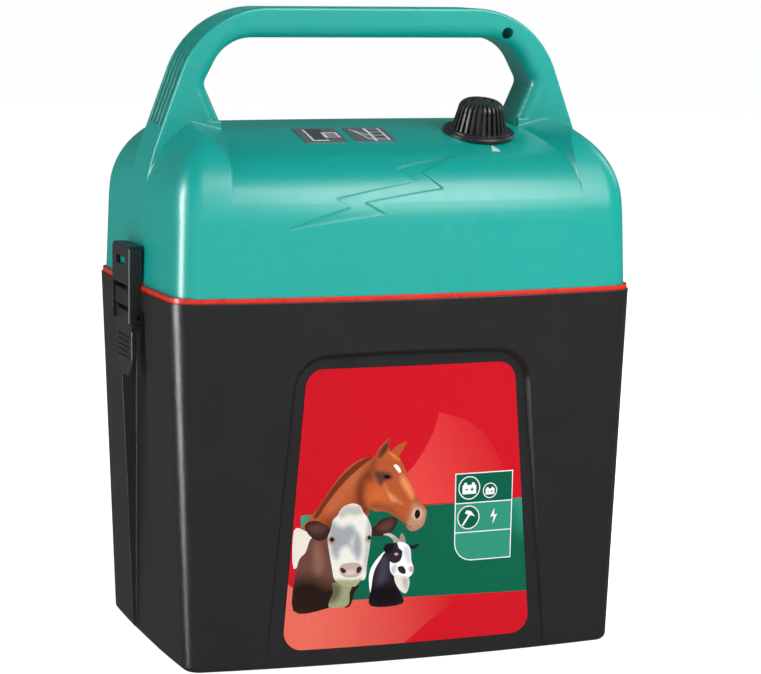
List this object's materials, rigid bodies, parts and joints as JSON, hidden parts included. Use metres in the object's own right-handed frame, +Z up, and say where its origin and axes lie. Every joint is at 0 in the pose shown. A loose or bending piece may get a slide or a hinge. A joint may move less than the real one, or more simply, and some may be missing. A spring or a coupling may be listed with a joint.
{
  "type": "fence energizer",
  "caption": "Portable battery fence energizer: tapered lower case for a block battery, latched upper housing with carrying handle, fluted switch knob and rear terminals.",
  "frame": {"origin": "middle of the case's bottom face, on the surface it stands on", "axes": "+Z up, -Y towards the label at the front, +X to the right seen from the front"},
  "size_m": [0.254, 0.1862, 0.3195],
  "materials": {
    "case_black": "fine moulded texture",
    "cover_teal": "satin moulded",
    "seal_red": "smooth",
    "label_print": "printed film",
    "pictogram_foil": "printed foil",
    "pointer_grey": "printed mark",
    "knob_black": "satin moulded",
    "latch_black": "satin moulded",
    "steel": "turned",
    "pin_black": "blackened",
    "battery_body": "moulded",
    "battery_lid": "moulded",
    "brass": "turned",
    "rubber_black": "matt",
    "tray_grey": "moulded",
    "board_green": "solder resist",
    "core_iron": "varnished laminations",
    "winding_copper": "enamelled wire",
    "ferrite": "ferrite and tape",
    "capacitor_yellow": "boxed film",
    "capacitor_can": "sleeved can",
    "aluminium": "extruded",
    "semiconductor": "moulded",
    "insulator_red": "moulded",
    "insulator_green": "moulded"
  },
  "bodies": {
    "case": {"case_shell": "case_black", "seal_gasket": "seal_red", "front_label": "label_print", "battery_case": "battery_body", "battery_lid": "battery_lid", "battery_contacts": "brass", "battery_pads": "rubber_black", "lever_pin_left": "pin_black", "lever_pin_right": "pin_black"},
    "cover": {"cover_shell": "cover_teal", "pictogram_label_left": "pictogram_foil", "pictogram_label_right": "pictogram_foil", "pointer_mark": "pointer_grey", "rotary_switch": "tray_grey", "switch_nut": "brass", "electronics_tray": "tray_grey", "lead_grommet": "rubber_black", "tray_screws": "steel", "circuit_board": "board_green", "board_screws": "steel", "pulse_transformer_core": "core_iron", "pulse_transformer_winding": "winding_copper", "inverter_transformer": "ferrite", "storage_capacitor": "capacitor_yellow", "small_capacitors": "capacitor_can", "heat_sink": "aluminium", "thyristor": "semiconductor", "fence_insulator": "insulator_red", "fence_stud": "steel", "fence_lock_nut": "steel", "earth_insulator": "insulator_green", "earth_stud": "steel", "earth_lock_nut": "steel"},
    "knob": {"knob": "knob_black", "knob_shaft": "steel"},
    "lever_left": {"latch_lever_left": "latch_black"},
    "strap_left": {"latch_strap_left": "latch_black", "strap_pin_left": "pin_black"},
    "lever_right": {"latch_lever_right": "latch_black"},
    "strap_right": {"latch_strap_right": "latch_black", "strap_pin_right": "pin_black"},
    "fence_washer": {"fence_washer": "steel"},
    "fence_nut": {"fence_nut": "steel"},
    "earth_washer": {"earth_washer": "steel"},
    "earth_nut": {"earth_nut": "steel"}
  },
  "joints": [
    {"name": "cover_lift", "type": "slide", "parent": "case", "child": "cover", "axis": [0, 0, 1], "range_m": [0, 0.03]},
    {"name": "knob_turn", "type": "hinge", "parent": "cover", "child": "knob", "pos_m": [0.052, -0.0285, 0.257], "axis": [0, -0.2284, 0.9736], "range_deg": [-60, 30]},
    {"name": "lever_left_open", "type": "hinge", "parent": "case", "child": "lever_left", "pos_m": [-0.1223, 0, 0.176], "axis": [0, 1, 0], "range_deg": [0, 90.5]},
    {"name": "strap_left_swing", "type": "hinge", "parent": "lever_left", "child": "strap_left", "pos_m": [-0.1219, 0, 0.1671], "axis": [0, 1, 0], "range_deg": [-144.5, 0]},
    {"name": "lever_right_open", "type": "hinge", "parent": "case", "child": "lever_right", "pos_m": [0.1223, 0, 0.176], "axis": [0, -1, 0], "range_deg": [0, 90.5]},
    {"name": "strap_right_swing", "type": "hinge", "parent": "lever_right", "child": "strap_right", "pos_m": [0.1219, 0, 0.1671], "axis": [0, -1, 0], "range_deg": [-144.5, 0]},
    {"name": "fence_washer_slide", "type": "slide", "parent": "cover", "child": "fence_washer", "axis": [0, 1, 0], "range_m": [0, 0.0041]},
    {"name": "fence_nut_turn", "type": "hinge", "parent": "fence_washer", "child": "fence_nut", "pos_m": [-0.038, 0.089, 0.203], "axis": [0, 1, 0], "range_deg": [0, 1440]},
    {"name": "earth_washer_slide", "type": "slide", "parent": "cover", "child": "earth_washer", "axis": [0, 1, 0], "range_m": [0, 0.0041]},
    {"name": "earth_nut_turn", "type": "hinge", "parent": "earth_washer", "child": "earth_nut", "pos_m": [0.038, 0.089, 0.203], "axis": [0, 1, 0], "range_deg": [0, 1440]}
  ],
  "couplings": [
    {"joint": "lever_left_open", "follows": "cover_lift", "rad_per_m": 52.36},
    {"joint": "strap_left_swing", "follows": "cover_lift", "rad_per_m": -83.776},
    {"joint": "lever_right_open", "follows": "cover_lift", "rad_per_m": 52.36},
    {"joint": "strap_right_swing", "follows": "cover_lift", "rad_per_m": -83.776},
    {"joint": "fence_washer_slide", "follows": "fence_nut_turn", "m_per_rad": 0.00015915},
    {"joint": "earth_washer_slide", "follows": "earth_nut_turn", "m_per_rad": 0.00015915}
  ]
}
